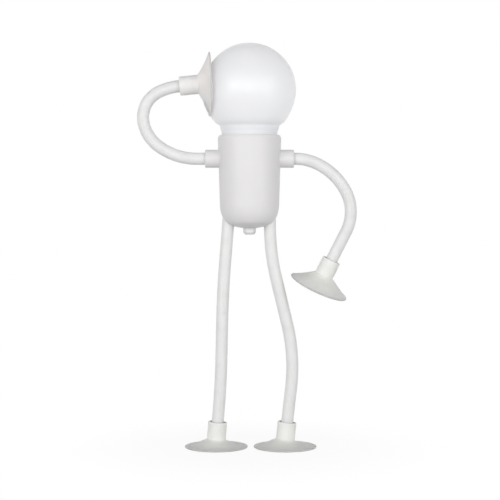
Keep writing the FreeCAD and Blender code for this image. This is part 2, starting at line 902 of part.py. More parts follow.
def main():
    os.makedirs("parts", exist_ok=True)
    right_arm = Limb(raised_arm)
    left_arm = Limb(hanging_arm)
    leg_r = Limb(right_leg)
    leg_l = Limb(left_leg)
    limbs = dict(right_arm=right_arm, left_arm=left_arm, right_leg=leg_r, left_leg=leg_l)
    cups = dict(right_arm="right_hand_cup", left_arm="left_hand_cup",
                right_leg="right_foot_cup", left_leg="left_foot_cup")
    ordered = [right_arm, left_arm, leg_r, leg_l]
    for name, limb in limbs.items():
        for label, span in zip(limb_names[name], limb.segments()):
            save(limb.sleeve(*span), name + "_sleeve_" + label)
            save(limb.wire(*span), name + "_wire_" + label)
        save(make_cup(limb), cups[name])
    save(make_housing(ordered), "housing")
    save(make_ferrules(ordered), "limb_ferrules")
    save(make_globe(), "globe")
    save(make_button(), "button")
    save(make_switch_case(), "switch_case")
    save(make_switch_dome(), "switch_dome")
    save(make_carrier(), "carrier")
    save(make_cell(), "cell")
    save(make_led_board(), "led_board")
    save(make_led_chips(), "led_chips")
    save(make_control_board(), "control_board")
    save(make_board_chips(), "board_chips")
    save(make_usb_shell(), "usb_shell")
    save(make_usb_tongue(), "usb_tongue")
    save(make_screws(), "frame_screws")
    save(cell_lead(cell_lead_x), "cell_lead_red")
    save(cell_lead(-cell_lead_x), "cell_lead_black")
    save(make_signal_leads(), "signal_leads")


main()
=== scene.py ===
import math

import bpy
import numpy as np
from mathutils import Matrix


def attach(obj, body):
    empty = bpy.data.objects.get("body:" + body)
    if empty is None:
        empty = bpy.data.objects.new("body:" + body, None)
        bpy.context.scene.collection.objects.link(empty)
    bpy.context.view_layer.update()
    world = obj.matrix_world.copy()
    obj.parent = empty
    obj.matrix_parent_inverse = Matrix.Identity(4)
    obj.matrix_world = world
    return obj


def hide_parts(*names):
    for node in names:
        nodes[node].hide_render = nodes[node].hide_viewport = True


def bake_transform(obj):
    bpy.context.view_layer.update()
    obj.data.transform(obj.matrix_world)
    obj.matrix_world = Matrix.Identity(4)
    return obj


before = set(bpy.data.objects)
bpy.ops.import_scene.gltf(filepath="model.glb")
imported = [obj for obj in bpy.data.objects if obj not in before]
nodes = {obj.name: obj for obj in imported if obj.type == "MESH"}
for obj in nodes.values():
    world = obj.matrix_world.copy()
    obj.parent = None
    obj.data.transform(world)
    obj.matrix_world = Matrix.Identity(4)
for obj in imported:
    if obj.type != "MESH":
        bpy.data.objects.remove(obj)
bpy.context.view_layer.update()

vertical = np.array([0.0, 0.0, 1.0])
print("frame loaded:", len(nodes), "nodes")


# Surfaces

def unit(vector):
    # a vector of length one; works on one vector or on rows of them
    vector = np.asarray(vector, float)
    return vector / np.linalg.norm(vector, axis=-1, keepdims=True)


def ease(t):
    # 0 below 0, 1 above 1, and 3t^2 - 2t^3 between
    t = np.clip(t, 0.0, 1.0)
    return t * t * (3.0 - 2.0 * t)


def ringSurface(name, points, along, closed=False, sharpAngle=40.0):
    # points[i, j] is ring i at angle j; rings join in order, each ring closes on itself.
    # A ring of no size is a pole, one vertex. closed joins the last ring to the first.
    # along[i] is U of the UV map, a length in metres or a zone's number; V runs once round the ring.
    noSize, seamLength = 1e-7, 0.001
    rings, count, _ = points.shape
    size = np.ptp(points, axis=1).max(axis=1)
    poleStart = bool(size[0] < noSize) and not closed
    poleEnd = bool(size[-1] < noSize) and not closed
    first = 1 if poleStart else 0
    last = rings - 1 if poleEnd else rings
    body = points[first:last].reshape(-1, 3)
    bodyAlong = np.asarray(along, float)[first:last]
    bodyRings = last - first
    poles = [points[end, :1] for end, isPole in ((0, poleStart), (-1, poleEnd)) if isPole]
    vertices = np.vstack([body] + poles)

    row = np.arange(bodyRings if closed else bodyRings - 1)
    column = np.arange(count)
    i, j = np.meshgrid(row, column, indexing="ij")
    i2, j2 = (i + 1) % bodyRings, (j + 1) % count
    quads = np.stack([i * count + j, i * count + j2, i2 * count + j2, i2 * count + j], -1).reshape(-1, 4)
    step = 1.0 / count
    endAlong = bodyAlong[i2]
    if closed:
        endAlong = np.where(i2 == 0, bodyAlong[-1] + seamLength, endAlong)
    u = np.stack([bodyAlong[i], bodyAlong[i], endAlong, endAlong], -1).reshape(-1)
    v = np.stack([j * step, (j + 1) * step, (j + 1) * step, j * step], -1).reshape(-1)
    faces = quads.tolist()
    ring = np.arange(count)
    nextInRing = (ring + 1) % count
    if poleStart:
        tip = len(body)
        fan = np.stack([np.full(count, tip), nextInRing, ring], -1)
        faces += fan.tolist()
        tipAlong, ringAlong = np.full(count, along[0]), np.full(count, bodyAlong[0])
        u = np.append(u, np.stack([tipAlong, ringAlong, ringAlong], -1).reshape(-1))
        v = np.append(v, np.stack([(ring + 0.5) * step, (ring + 1) * step, ring * step], -1).reshape(-1))
    if poleEnd:
        tip = len(vertices) - 1
        base = (bodyRings - 1) * count
        fan = np.stack([base + ring, base + nextInRing, np.full(count, tip)], -1)
        faces += fan.tolist()
        tipAlong, ringAlong = np.full(count, along[-1]), np.full(count, bodyAlong[-1])
        u = np.append(u, np.stack([ringAlong, ringAlong, tipAlong], -1).reshape(-1))
        v = np.append(v, np.stack([ring * step, (ring + 1) * step, (ring + 0.5) * step], -1).reshape(-1))

    mesh = bpy.data.meshes.new(name)
    mesh.from_pydata(vertices.tolist(), [], faces)
    layer = mesh.uv_layers.new(name="along")
    layer.data.foreach_set("uv", np.stack([u, v], -1).astype(np.float32).ravel())
    if signedVolume(vertices, quads) < 0.0:
        mesh.flip_normals()
    mesh.shade_smooth()
    mesh.set_sharp_from_angle(angle=math.radians(sharpAngle))
    piece = bpy.data.objects.new(name, mesh)
    bpy.context.scene.collection.objects.link(piece)
    return piece


def signedVolume(vertices, quads):
    # sum of the tetrahedra from the middle of the points to every face; negative if inside out
    corners = vertices[quads] - vertices.mean(axis=0)
    a, b, c, d = corners[:, 0], corners[:, 1], corners[:, 2], corners[:, 3]
    one = np.einsum("ij,ij->i", a, np.cross(b, c)).sum()
    two = np.einsum("ij,ij->i", a, np.cross(c, d)).sum()
    return one + two


def ringsAlong(centres, sideA, sideB, radii, count):
    # ring i lies about centres[i] in the plane of sideA[i] and sideB[i], with radius radii[i]
    angle = np.arange(count) * 2.0 * math.pi / count
    cosine, sine = np.cos(angle)[None, :, None], np.sin(angle)[None, :, None]
    circle = cosine * sideA[:, None, :] + sine * sideB[:, None, :]
    return centres[:, None, :] + np.asarray(radii)[:, None, None] * circle


def roundedProfile(corners, step, arcStep=9.0):
    # corners are (radius, height, rounding). Each corner is cut by a tangent arc of its rounding, with
    # a point at least every arcStep degrees, and no piece of the runs between is longer than step.
    points = [np.array(corners[0][:2], float)]
    for before, corner, after in zip(corners[:-2], corners[1:-1], corners[2:]):
        here = np.array(corner[:2], float)
        back, ahead = unit(np.array(before[:2]) - here), unit(np.array(after[:2]) - here)
        rounding = corner[2]
        if rounding <= 0.0:
            points.append(here)
            continue
        half = 0.5 * math.acos(float(np.clip(back @ ahead, -1.0, 1.0)))
        reach = rounding / math.tan(half)
        centre = here + unit(back + ahead) * (rounding / math.sin(half))
        start, end = here + back * reach - centre, here + ahead * reach - centre
        sweep = math.pi - 2.0 * half
        parts = max(3, int(math.ceil(sweep / math.radians(arcStep))))
        share = np.linspace(0.0, 1.0, parts + 1)[:, None]
        arc = (np.sin((1.0 - share) * sweep) * start + np.sin(share * sweep) * end) / math.sin(sweep)
        points.extend(centre + arc)
    points.append(np.array(corners[-1][:2], float))
    points = np.array(points)
    runs = np.linalg.norm(np.diff(points, axis=0), axis=1)
    whole = [points[:1]]
    for a, b, run in zip(points[:-1], points[1:], runs):
        parts = max(1, int(math.ceil(run / step)))
        whole.append(a + (b - a) * (np.arange(1, parts + 1) / parts)[:, None])
    return np.vstack(whole)


def lengthAlong(points):
    # distance travelled along a row of points
    return np.append(0.0, np.cumsum(np.linalg.norm(np.diff(points, axis=0), axis=1)))


# Shared effects

def newGroup(name, inputs, outputs):
    # a node group with its sockets; each socket is (name, kind, default)
    group = bpy.data.node_groups.new(name, "ShaderNodeTree")
    kinds = {"number": "NodeSocketFloat", "colour": "NodeSocketColor", "vector": "NodeSocketVector"}
    for label, kind, value in inputs:
        socket = group.interface.new_socket(label, in_out="INPUT", socket_type=kinds[kind])
        if value is not None:
            socket.default_value = value
    for label, kind in outputs:
        group.interface.new_socket(label, in_out="OUTPUT", socket_type=kinds[kind])
    return group, Wiring(group)


class Wiring:
    # short names for adding and joining nodes in one tree
    def __init__(self, tree):
        self.tree = tree
        self.into = self.add("NodeGroupInput") if tree.name in bpy.data.node_groups else None
        self.out = self.add("NodeGroupOutput") if self.into else None

    def add(self, kind, **settings):
        node = self.tree.nodes.new(kind)
        for key, value in settings.items():
            setattr(node, key, value)
        return node

    def join(self, source, target):
        self.tree.links.new(source, target)

    def feed(self, target, value):
        if isinstance(value, bpy.types.NodeSocket):
            self.join(value, target)
        else:
            target.default_value = value

    def noise(self, place, scale, detail=2.0, roughness=0.5):
        node = self.add("ShaderNodeTexNoise")
        self.feed(node.inputs["Vector"], place)
        self.feed(node.inputs["Scale"], scale)
        node.inputs["Detail"].default_value = detail
        node.inputs["Roughness"].default_value = roughness
        return node.outputs["Fac"]

    def math(self, operation, a, b=0.0):
        node = self.add("ShaderNodeMath", operation=operation)
        self.feed(node.inputs[0], a)
        self.feed(node.inputs[1], b)
        return node.outputs[0]

    def spread(self, value, low, high, newLow=0.0, newHigh=1.0):
        node = self.add("ShaderNodeMapRange", interpolation_type="SMOOTHSTEP")
        self.feed(node.inputs["Value"], value)
        for label, number in (("From Min", low), ("From Max", high), ("To Min", newLow), ("To Max", newHigh)):
            self.feed(node.inputs[label], number)
        return node.outputs["Result"]

    def mix(self, share, a, b):
        node = self.add("ShaderNodeMix", data_type="RGBA")
        self.feed(node.inputs[0], share)
        self.feed(node.inputs[6], a)
        self.feed(node.inputs[7], b)
        return node.outputs[2]

    def stretch(self, place, scale):
        node = self.add("ShaderNodeMapping")
        self.feed(node.inputs["Vector"], place)
        node.inputs["Scale"].default_value = scale
        return node.outputs["Vector"]


def buildMouldedSkin():
    # fine spark-eroded grain of a moulded face, with faint flow clouds in its tone
    group, w = newGroup("mouldedSkin", [
        ("Place", "vector", None), ("Colour", "colour", None), ("Shade", "colour", None),
        ("Clouds", "number", 60.0), ("Cloud Share", "number", 0.3),
        ("Grain", "number", 2500.0), ("Roughness", "number", 0.4), ("Roughness Swing", "number", 0.06),
    ], [("Colour", "colour"), ("Roughness", "number"), ("Height", "number")])
    given = w.into.outputs
    cloudReach, cloudHeight = (0.38, 0.68), 0.4
    clouds = w.noise(given["Place"], given["Clouds"], detail=3.0, roughness=0.6)
    cloudMask = w.spread(clouds, *cloudReach)
    w.join(w.mix(w.math("MULTIPLY", cloudMask, given["Cloud Share"]), given["Colour"], given["Shade"]),
           w.out.inputs["Colour"])
    grain = w.noise(given["Place"], given["Grain"], roughness=0.55)
    swing = w.math("MULTIPLY", w.math("SUBTRACT", clouds, 0.5), given["Roughness Swing"])
    small = w.math("MULTIPLY", w.math("SUBTRACT", grain, 0.5), given["Roughness Swing"])
    w.join(w.math("ADD", given["Roughness"], w.math("ADD", swing, small)), w.out.inputs["Roughness"])
    w.join(w.math("ADD", grain, w.math("MULTIPLY", clouds, cloudHeight)), w.out.inputs["Height"])
    return group


def buildDrawnLines():
    # lines that run with the length of an extruded or drawn piece, and slow waves across them
    group, w = newGroup("drawnLines", [
        ("Place", "vector", None), ("Waves", "number", 120.0), ("Fine", "number", 900.0),
    ], [("Lines", "number"), ("Waves", "number"), ("Fine", "number")])
    given = w.into.outputs
    for label, scale, size, detail, roughness in (
            ("Lines", (9.0, 34.0, 1.0), 1.0, 3.0, 0.6),
            ("Waves", (1.0, 0.02, 1.0), given["Waves"], 2.0, 0.5),
            ("Fine", (1.0, 0.025, 1.0), given["Fine"], 2.0, 0.5)):
        strokes = w.noise(w.stretch(given["Place"], scale), size, detail, roughness)
        w.join(strokes, w.out.inputs[label])
    return group


def buildDustSpecks():
    # sparse specks of dust that rubber and satin plastic hold: 1 on a speck, 0 elsewhere
    group, w = newGroup("dustSpecks", [
        ("Place", "vector", None), ("Scale", "number", 700.0), ("Size", "number", 0.14),
        ("Share", "number", 0.5),
    ], [("Mask", "number")])
    given = w.into.outputs
    patchScale, patchReach, choiceScale = 90.0, (0.5, 0.62), 430.0
    cells = w.add("ShaderNodeTexVoronoi", feature="F1")
    w.join(given["Place"], cells.inputs["Vector"])
    w.join(given["Scale"], cells.inputs["Scale"])
    speck = w.math("LESS_THAN", cells.outputs["Distance"], given["Size"])
    patches = w.spread(w.noise(given["Place"], patchScale), *patchReach)
    chosen = w.math("LESS_THAN", w.noise(given["Place"], choiceScale, detail=1.0), given["Share"])
    w.join(w.math("MULTIPLY", speck, w.math("MULTIPLY", patches, chosen)), w.out.inputs["Mask"])
    return group


effects = {
    "moulded": buildMouldedSkin(),
    "drawn": buildDrawnLines(),
    "dust": buildDustSpecks(),
}


def newFinish(name):
    # an empty material with its shader, its place coordinates ("Object" and "UV") and wiring names
    material = bpy.data.materials.new(name)
    material.use_nodes = True
    tree = material.node_tree
    tree.nodes.clear()
    w = Wiring(tree)
    shader = w.add("ShaderNodeBsdfPrincipled")
    output = w.add("ShaderNodeOutputMaterial")
    w.join(shader.outputs["BSDF"], output.inputs["Surface"])
    return material, w, shader, w.add("ShaderNodeTexCoord").outputs


def useEffect(w, key, **values):
    # place one shared effect and give its named inputs
    node = w.add("ShaderNodeGroup", node_tree=effects[key])
    for label, value in values.items():
        w.feed(node.inputs[label.replace("_", " ")], value)
    return node.outputs


def dusted(w, base, place, share, colour, **values):
    # a colour with specks of dust on it
    dust = useEffect(w, "dust", Place=place, **values)
    return w.mix(w.math("MULTIPLY", dust["Mask"], share), base, rgb(colour))


def bump(w, shader, height, depth):
    # a bump whose depth is in metres
    node = w.add("ShaderNodeBump")
    node.inputs["Distance"].default_value = depth
    node.inputs["Strength"].default_value = 1.0
    w.join(height, node.inputs["Height"])
    w.join(node.outputs["Normal"], shader.inputs["Normal"])


def letThrough(w, shader, colour, share):
    # a thin wall: this share of the light is scattered on through the wall instead of back from it
    through = w.add("ShaderNodeBsdfTranslucent")
    through.inputs["Color"].default_value = rgb(colour)
    both = w.add("ShaderNodeMixShader")
    w.feed(both.inputs[0], share)
    surface = shader.outputs["BSDF"].links[0].to_socket
    w.join(shader.outputs["BSDF"], both.inputs[1])
    w.join(through.outputs["BSDF"], both.inputs[2])
    w.join(both.outputs[0], surface)


def rgb(colour):
    return (*colour, 1.0)


# Finishes

mouldedCommon = dict(dust=0.05, dustColour=(0.5, 0.5, 0.5), coatRoughness=0.25)
shellCommon = dict(colour=(0.800, 0.785, 0.787), shade=(0.765, 0.750, 0.752), coat=0.06, grain=2600.0)
leadCommon = dict(roughness=0.35, depth=0.000006, coat=0.1, grain=1500.0)
mouldedLooks = {
    # name: colour, shade, roughness, grain depth in metres, coat, grain scale
    "bodyShell": dict(shellCommon, roughness=0.42, depth=0.000006),
    "buttonCap": dict(shellCommon, roughness=0.38, depth=0.000005),
    "innerFrame": dict(colour=(0.88, 0.88, 0.87), shade=(0.84, 0.84, 0.83), roughness=0.5,
                       depth=0.00001, coat=0.0, grain=1800.0),
    "switchCase": dict(colour=(0.045, 0.045, 0.05), shade=(0.07, 0.07, 0.075), roughness=0.45,
                       depth=0.00001, coat=0.0, grain=2200.0),
    "chipMould": dict(colour=(0.03, 0.03, 0.032), shade=(0.05, 0.05, 0.052), roughness=0.55,
                      depth=0.00001, coat=0.0, grain=3000.0),
    "switchRubber": dict(colour=(0.42, 0.42, 0.42), shade=(0.36, 0.36, 0.36), roughness=0.7,
                         depth=0.00001, coat=0.0, grain=2000.0),
    "leadRed": dict(leadCommon, colour=(0.55, 0.03, 0.025), shade=(0.42, 0.02, 0.02)),
    "leadBlack": dict(leadCommon, colour=(0.028, 0.028, 0.028), shade=(0.05, 0.05, 0.05)),
    "leadWhite": dict(leadCommon, colour=(0.72, 0.72, 0.70), shade=(0.62, 0.62, 0.60)),
}


def mouldedFinish(name, colour, shade, roughness, depth, coat, grain):
    # moulded plastic or rubber with its grain and a little dust
    material, w, shader, where = newFinish(name)
    skin = useEffect(w, "moulded", Place=where["Object"], Colour=rgb(colour), Shade=rgb(shade),
                     Roughness=roughness, Grain=grain)
    w.join(dusted(w, skin["Colour"], where["Object"], mouldedCommon["dust"], mouldedCommon["dustColour"]),
           shader.inputs["Base Color"])
    w.join(skin["Roughness"], shader.inputs["Roughness"])
    shader.inputs["Coat Weight"].default_value = coat
    shader.inputs["Coat Roughness"].default_value = mouldedCommon["coatRoughness"]
    bump(w, shader, skin["Height"], depth)
    return material


def frostedGlobeFinish():
    # opal diffuser: fine frost and faint clouds in its tone. Towards the neck, where the wall stands in
    # its socket, the tone is cooler, less light passes through and the gloss of the coat fades out
    look = dict(colour=(0.960, 0.965, 0.985), low=(0.95, 0.96, 0.99), shade=(0.940, 0.947, 0.970),
                neck=(0.206, 0.220), frost=3800.0, clouds=28.0, cloudShare=0.25, depth=0.000004,
                roughness=0.30, through=(0.3, 0.6), coat=(0.1, 1.0), coatRoughness=0.3, coatIor=1.95)
    material, w, shader, where = newFinish("frostedGlobe")
    split = w.add("ShaderNodeSeparateXYZ")
    w.join(where["Object"], split.inputs[0])
    rise = w.spread(split.outputs["Z"], *look["neck"])
    coat = w.spread(split.outputs["Z"], *look["neck"], *look["coat"])
    through = w.spread(split.outputs["Z"], *look["neck"], *look["through"])
    base = w.mix(rise, rgb(look["low"]), rgb(look["colour"]))
    skin = useEffect(w, "moulded", Place=where["Object"], Colour=base, Shade=rgb(look["shade"]),
                     Roughness=look["roughness"], Grain=look["frost"], Clouds=look["clouds"],
                     Cloud_Share=look["cloudShare"])
    w.join(skin["Colour"], shader.inputs["Base Color"])
    w.join(skin["Roughness"], shader.inputs["Roughness"])
    w.join(coat, shader.inputs["Coat Weight"])
    shader.inputs["Coat Roughness"].default_value = look["coatRoughness"]
    shader.inputs["Coat IOR"].default_value = look["coatIor"]
    bump(w, shader, skin["Height"], look["depth"])
    letThrough(w, shader, (1.0, 1.0, 1.0), through)
    return material


def limbSiliconeFinish():
    # extruded silicone tube: die lines with its length, slow waves where it was bent, held dust
    look = dict(colour=(0.848, 0.853, 0.845), shade=(0.788, 0.793, 0.783), toneReach=(0.42, 0.66),
                roughness=0.36, swing=0.14, depth=0.00003, ior=1.41, dust=0.25,
                dustColour=(0.42, 0.42, 0.41))
    material, w, shader, where = newFinish("limbSilicone")
    drawn = useEffect(w, "drawn", Place=where["UV"])
    tone = w.math("ADD", w.math("MULTIPLY", drawn["Lines"], 0.5), w.math("MULTIPLY", drawn["Waves"], 0.5))
    base = w.mix(w.spread(tone, *look["toneReach"]), rgb(look["colour"]), rgb(look["shade"]))
    w.join(dusted(w, base, where["Object"], look["dust"], look["dustColour"], Scale=520.0, Size=0.11),
           shader.inputs["Base Color"])
    swing = w.math("MULTIPLY", w.math("SUBTRACT", drawn["Fine"], 0.5), look["swing"])
    w.join(w.math("ADD", swing, look["roughness"]), shader.inputs["Roughness"])
    shader.inputs["IOR"].default_value = look["ior"]
    height = w.math("ADD", w.math("MULTIPLY", drawn["Lines"], 0.5), drawn["Waves"])
    bump(w, shader, height, look["depth"])
    return material


cupTonesAndPaintedShade = {
    # tones from the hollow over the rim and the cone to the sleeve and down its bore; the dark hollow, rim
    # and bore tones are painted shade
    "cupSilicone": dict(hollow=(0.66, 0.66, 0.63), rim=(0.54, 0.54, 0.53), skirt=(0.77, 0.77, 0.76),
                        cone=(0.83, 0.83, 0.795), sleeve=(0.90, 0.90, 0.865), bore=(0.40, 0.40, 0.38)),
    # a lighter, warmer copy for the raised cup: painted light
    "cupSiliconeWarm": dict(hollow=(0.68, 0.66, 0.65), rim=(0.60, 0.57, 0.56), skirt=(0.88, 0.85, 0.835),
                            cone=(0.92, 0.885, 0.87), sleeve=(0.92, 0.90, 0.89), bore=(0.42, 0.40, 0.39)),
}
cupSkin = dict(shade=(0.93, 0.93, 0.925), clouds=120.0, cloudShare=0.7, grain=1400.0, depth=0.000006,
               roughness=0.42, ior=1.41, dust=0.12, dustColour=(0.45, 0.45, 0.43),
               scatter=0.7, scatterColour=(1.0, 0.98, 0.94), scatterReach=0.0025)


def cupSiliconeFinish(name, hollow, rim, skirt, cone, sleeve, bore):
    # moulded soft silicone with a tone for each zone: the sleeve is light over the tube inside and the thin
    # skirt greyer,
    # # while the darker hollow, rim bead and bore are painted shade. U of the map: 0 hollow, 1 rim, 2 cone's
    # top,
    # # 3 mouth, 4 the bore's end; a stop's place is a quarter of that
    material, w, shader, where = newFinish(name)
    split = w.add("ShaderNodeSeparateXYZ")
    w.join(where["UV"], split.inputs[0])
    ramp = w.add("ShaderNodeValToRGB")
    w.join(w.math("DIVIDE", split.outputs["X"], 4.0), ramp.inputs["Fac"])
    # the hollow, rim and bore stops are painted shade
    stops = [(0.0, hollow), (0.235, hollow), (0.25, rim), (0.275, skirt), (0.46, cone),
             (0.50, sleeve), (0.742, sleeve), (0.765, bore)]
    elements = ramp.color_ramp.elements
    for at, _ in stops[1:-1]:
        elements.new(at)
    for element, (at, colour) in zip(elements, stops):
        element.position = at
        element.color = rgb(colour)
    darker = w.add("ShaderNodeMix", data_type="RGBA", blend_type="MULTIPLY")
    darker.inputs[0].default_value = 1.0
    w.join(ramp.outputs["Color"], darker.inputs[6])
    darker.inputs[7].default_value = rgb(cupSkin["shade"])
    skin = useEffect(w, "moulded", Place=where["Object"], Colour=ramp.outputs["Color"],
                     Shade=darker.outputs[2], Roughness=cupSkin["roughness"], Grain=cupSkin["grain"],
                     Clouds=cupSkin["clouds"], Cloud_Share=cupSkin["cloudShare"])
    w.join(dusted(w, skin["Colour"], where["Object"], cupSkin["dust"], cupSkin["dustColour"],
                  Scale=600.0, Size=0.12), shader.inputs["Base Color"])
    w.join(skin["Roughness"], shader.inputs["Roughness"])
    shader.inputs["IOR"].default_value = cupSkin["ior"]
    shader.inputs["Subsurface Weight"].default_value = cupSkin["scatter"]
    shader.inputs["Subsurface Radius"].default_value = cupSkin["scatterColour"]
    shader.inputs["Subsurface Scale"].default_value = cupSkin["scatterReach"]
    bump(w, shader, skin["Height"], cupSkin["depth"])
    return material


metalCommon = dict(darker=0.82, toneReach=(0.35, 0.7), swing=0.25, depth=0.000006)
metalLooks = {
    # name: colour, roughness, scale of the lines along X, Y and Z
    "armatureWire": dict(colour=(0.52, 0.52, 0.53), roughness=0.34, lines=(900.0, 900.0, 60.0)),
    "ferruleRing": dict(colour=(0.74, 0.74, 0.75), roughness=0.28, lines=(80.0, 900.0, 900.0)),
    "socketShell": dict(colour=(0.60, 0.60, 0.60), roughness=0.25, lines=(900.0, 70.0, 900.0)),
    "screwMetal": dict(colour=(0.50, 0.50, 0.49), roughness=0.3, lines=(500.0, 500.0, 500.0)),
}


def metalFinish(name, colour, roughness, lines):
    # brushed or drawn metal: roughness and tone follow stretched noise
    material, w, shader, where = newFinish(name)
    strokes = w.noise(w.stretch(where["Object"], lines), 1.0, detail=3.0, roughness=0.6)
    darker = tuple(metalCommon["darker"] * c for c in colour)
    tone = w.spread(strokes, *metalCommon["toneReach"])
    w.join(w.mix(tone, rgb(colour), rgb(darker)), shader.inputs["Base Color"])
    shader.inputs["Metallic"].default_value = 1.0
    swing = w.math("MULTIPLY", w.math("SUBTRACT", strokes, 0.5), metalCommon["swing"])
    w.join(w.math("ADD", swing, roughness), shader.inputs["Roughness"])
    bump(w, shader, strokes, metalCommon["depth"])
    return material


boardCommon = dict(patches=260.0, patchReach=(0.45, 0.5), gloss=900.0, glossSwing=(0.05, 0.08),
                   depth=0.00003)
boardLooks = {
    # name: solder mask, copper run, scale of the runs, roughness
    "greenBoard": dict(mask=(0.02, 0.17, 0.07), trace=(0.05, 0.30, 0.13), scale=500.0, roughness=0.3),
    "whiteBoard": dict(mask=(0.82, 0.82, 0.80), trace=(0.72, 0.72, 0.70), scale=300.0, roughness=0.4),
}


def boardFinish(name, mask, trace, scale, roughness):
    # circuit board: copper runs show as a slightly raised, lighter net under the solder mask
    material, w, shader, where = newFinish(name)
    place, c = where["Object"], boardCommon
    bricks = w.add("ShaderNodeTexBrick")
    w.join(place, bricks.inputs["Vector"])
    for label, value in (
            ("Scale", scale), ("Mortar Size", 0.09), ("Mortar Smooth", 0.2),
            ("Brick Width", 1.3), ("Row Height", 0.5)):
        bricks.inputs[label].default_value = value
    patches = w.spread(w.noise(place, c["patches"], detail=1.0), *c["patchReach"])
    net = w.math("MULTIPLY", bricks.outputs["Fac"], patches)
    w.join(w.mix(net, rgb(mask), rgb(trace)), shader.inputs["Base Color"])
    less, more = c["glossSwing"]
    gloss = w.spread(w.noise(place, c["gloss"]), 0.2, 0.8, roughness - less, roughness + more)
    w.join(gloss, shader.inputs["Roughness"])
    bump(w, shader, net, c["depth"])
    return material


def cellWrapFinish():
    # shrink wrap on the cell: gloss film with a lighter overlap seam and small lengthwise wrinkles
    look = dict(colour=(0.04, 0.20, 0.40), shade=(0.03, 0.15, 0.32), seam=(0.12, 0.32, 0.52),
                halfSeam=0.0006, seamShare=0.5, wrinkles=(500.0, 500.0, 120.0),
                roughness=(0.18, 0.32), coat=0.5, depth=0.00003)
    material, w, shader, where = newFinish("cellWrap")
    split = w.add("ShaderNodeSeparateXYZ")
    w.join(where["Object"], split.inputs[0])
    seam = w.math("LESS_THAN", w.math("ABSOLUTE", split.outputs["X"]), look["halfSeam"])
    wrinkles = w.noise(w.stretch(where["Object"], look["wrinkles"]), 1.0, detail=3.0)
    base = w.mix(w.spread(wrinkles, 0.4, 0.7), rgb(look["colour"]), rgb(look["shade"]))
    w.join(w.mix(w.math("MULTIPLY", seam, look["seamShare"]), base, rgb(look["seam"])),
           shader.inputs["Base Color"])
    w.join(w.spread(wrinkles, 0.3, 0.7, *look["roughness"]), shader.inputs["Roughness"])
    shader.inputs["Coat Weight"].default_value = look["coat"]
    bump(w, shader, wrinkles, look["depth"])
    return material


def phosphorFinish():
    # LED packages: yellow gel that mottles under a clear skin
    look = dict(colour=(0.86, 0.66, 0.14), shade=(0.74, 0.52, 0.08), mottle=1600.0,
                roughness=(0.3, 0.5), coat=0.4, depth=0.00001)
    material, w, shader, where = newFinish("ledPhosphor")
    mottle = w.noise(where["Object"], look["mottle"], detail=3.0)
    w.join(w.mix(w.spread(mottle, 0.35, 0.65), rgb(look["colour"]), rgb(look["shade"])),
           shader.inputs["Base Color"])
    w.join(w.spread(mottle, 0.3, 0.7, *look["roughness"]), shader.inputs["Roughness"])
    shader.inputs["Coat Weight"].default_value = look["coat"]
    bump(w, shader, mottle, look["depth"])
    return material


finishes = {
    "frostedGlobe": frostedGlobeFinish(),
    "limbSilicone": limbSiliconeFinish(),
    "cellWrap": cellWrapFinish(),
    "ledPhosphor": phosphorFinish(),
}
for makeFinish, looks in (
        (mouldedFinish, mouldedLooks), (cupSiliconeFinish, cupTonesAndPaintedShade),
        (metalFinish, metalLooks), (boardFinish, boardLooks)):
    for finishName, look in looks.items():
        finishes[finishName] = makeFinish(finishName, **look)

nodeFinishes = {
    "housing": "bodyShell", "globe": "frostedGlobe", "button": "buttonCap",
    "switch_case": "switchCase", "switch_dome": "switchRubber", "carrier": "innerFrame",
    "cell": "cellWrap", "led_board": "whiteBoard", "led_chips": "ledPhosphor",
    "control_board": "greenBoard", "board_chips": "chipMould", "usb_tongue": "chipMould",
    "usb_shell": "socketShell", "limb_ferrules": "ferruleRing", "frame_screws": "screwMetal",
    "cell_lead_red": "leadRed", "cell_lead_black": "leadBlack", "signal_leads": "leadWhite",
}


def finishFor(node):
    # the finish of a CAD node, by its name
    if "_sleeve_" in node:
        return "limbSilicone"
    if "_wire_" in node:
        return "armatureWire"
    if node.endswith("_cup"):
        return "cupSilicone"
    return nodeFinishes[node]


for nodeName, node in nodes.items():
    node.data.materials.clear()
    node.data.materials.append(finishes[finishFor(nodeName)])
print("finishes made:", len(finishes))


# Limbs

# inside is how far a tube runs on into its cup's sleeve, hidden how far it starts inside the housing
tube = dict(radius=0.00399, bore=0.0024, ring=44, step=0.0006, inside=0.0096, hidden=0.0105)

legCommon = dict(tip=0.0, standing=True, stations=[0.012, 0.032, 0.072, 0.112],
                 reach=[0.0085, 0.0095, 0.016, 0.016], nodes=["root", "hip", "thigh", "shin", "end"])
limbs = {
    # start and route as the frame has them: runs in metres, bends as (radius, degrees). stations are
    # lengths along the route, and reach is how far each bend spreads to both sides of its station
    "right_arm": dict(
        start=(-0.0292, 0.1909), heading=180.0, tip=5.0, standing=False,
        route=[0.0056, (0.042, -37.0), (0.025, -40.0), (0.0186, -77.0), (0.0392, -20.5), 0.0003],
        stations=[0.008, 0.027, 0.052], reach=[0.0075, 0.009, 0.0105],
        nodes=["root", "upper", "fore", "end"]),
    "left_arm": dict(
        start=(0.0292, 0.1909), heading=0.0, tip=4.0, standing=False,
        route=[0.0011, (0.032, -21.5), (0.0415, -41.5), (0.029, -53.5), 0.0212],
        stations=[0.008, 0.029, 0.055, 0.080], reach=[0.0075, 0.010, 0.011, 0.010],
        nodes=["root", "upper", "middle", "fore", "end"]),
    "right_leg": dict(
        legCommon, start=(-0.014, 0.149), heading=-94.6,
        route=[0.025, (0.690, 3.3), 0.026, (0.560, -4.0), 0.002, (0.030, 2.9)]),
    "left_leg": dict(
        legCommon, start=(0.0134, 0.149), heading=-88.5,
        route=[0.006, (0.150, 12.0), 0.0315, (0.120, -20.0)]),
}


